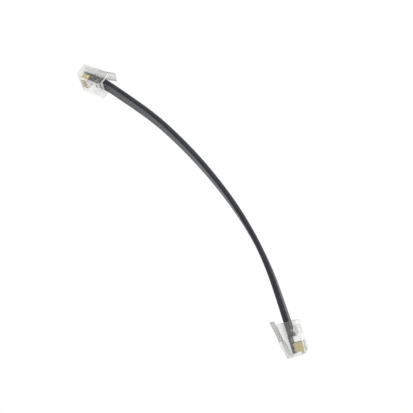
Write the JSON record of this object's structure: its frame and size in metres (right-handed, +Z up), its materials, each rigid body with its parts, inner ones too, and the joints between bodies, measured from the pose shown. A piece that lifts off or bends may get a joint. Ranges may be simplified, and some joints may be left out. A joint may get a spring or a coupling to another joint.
{
  "type": "flat modular patch lead",
  "caption": "Short flat cord with a clear modular plug on each end, each plug with a sprung latch lever and gold blade contacts.",
  "frame": {"origin": "on the floor under the middle of the two plugs' common box", "axes": "+X from plug A to plug B, +Z up, with the lead lying on the cord's narrow edge and each plug leaning on the side-wall edge next to its latch"},
  "size_m": [0.1518, 0.0221, 0.011],
  "materials": {
    "cord_pvc": "satin",
    "clear_polycarbonate": "clear gloss",
    "gold_plated_contact": "gold plated",
    "wire_white": "satin",
    "wire_black": "satin",
    "wire_red": "satin",
    "wire_green": "satin",
    "wire_yellow": "satin",
    "wire_blue": "satin"
  },
  "bodies": {
    "lead": {"cord_jacket": "cord_pvc", "plug_a_housing": "clear_polycarbonate", "plug_a_cord_clamp": "clear_polycarbonate", "plug_a_contact_1": "gold_plated_contact", "plug_a_wire_1_white": "wire_white", "plug_a_contact_2": "gold_plated_contact", "plug_a_wire_2_black": "wire_black", "plug_a_contact_3": "gold_plated_contact", "plug_a_wire_3_red": "wire_red", "plug_a_contact_4": "gold_plated_contact", "plug_a_wire_4_green": "wire_green", "plug_a_contact_5": "gold_plated_contact", "plug_a_wire_5_yellow": "wire_yellow", "plug_a_contact_6": "gold_plated_contact", "plug_a_wire_6_blue": "wire_blue", "plug_b_housing": "clear_polycarbonate", "plug_b_cord_clamp": "clear_polycarbonate", "plug_b_contact_1": "gold_plated_contact", "plug_b_wire_1_white": "wire_white", "plug_b_contact_2": "gold_plated_contact", "plug_b_wire_2_black": "wire_black", "plug_b_contact_3": "gold_plated_contact", "plug_b_wire_3_red": "wire_red", "plug_b_contact_4": "gold_plated_contact", "plug_b_wire_4_green": "wire_green", "plug_b_contact_5": "gold_plated_contact", "plug_b_wire_5_yellow": "wire_yellow", "plug_b_contact_6": "gold_plated_contact", "plug_b_wire_6_blue": "wire_blue"},
    "latch_a": {"plug_a_latch": "clear_polycarbonate"},
    "latch_b": {"plug_b_latch": "clear_polycarbonate"}
  },
  "joints": [
    {"name": "latch_a_press", "type": "hinge", "parent": "lead", "child": "latch_a", "pos_m": [-0.07486, -0.00133, 0.00475], "axis": [0.1073, -0.1977, -0.9744], "range_deg": [0, 10.5], "stiffness_Nm_per_rad": 0.2},
    {"name": "latch_b_press", "type": "hinge", "parent": "lead", "child": "latch_b", "pos_m": [0.07297, -0.00585, 0.00475], "axis": [0.0791, 0.2106, -0.9744], "range_deg": [0, 10.5], "stiffness_Nm_per_rad": 0.2}
  ]
}
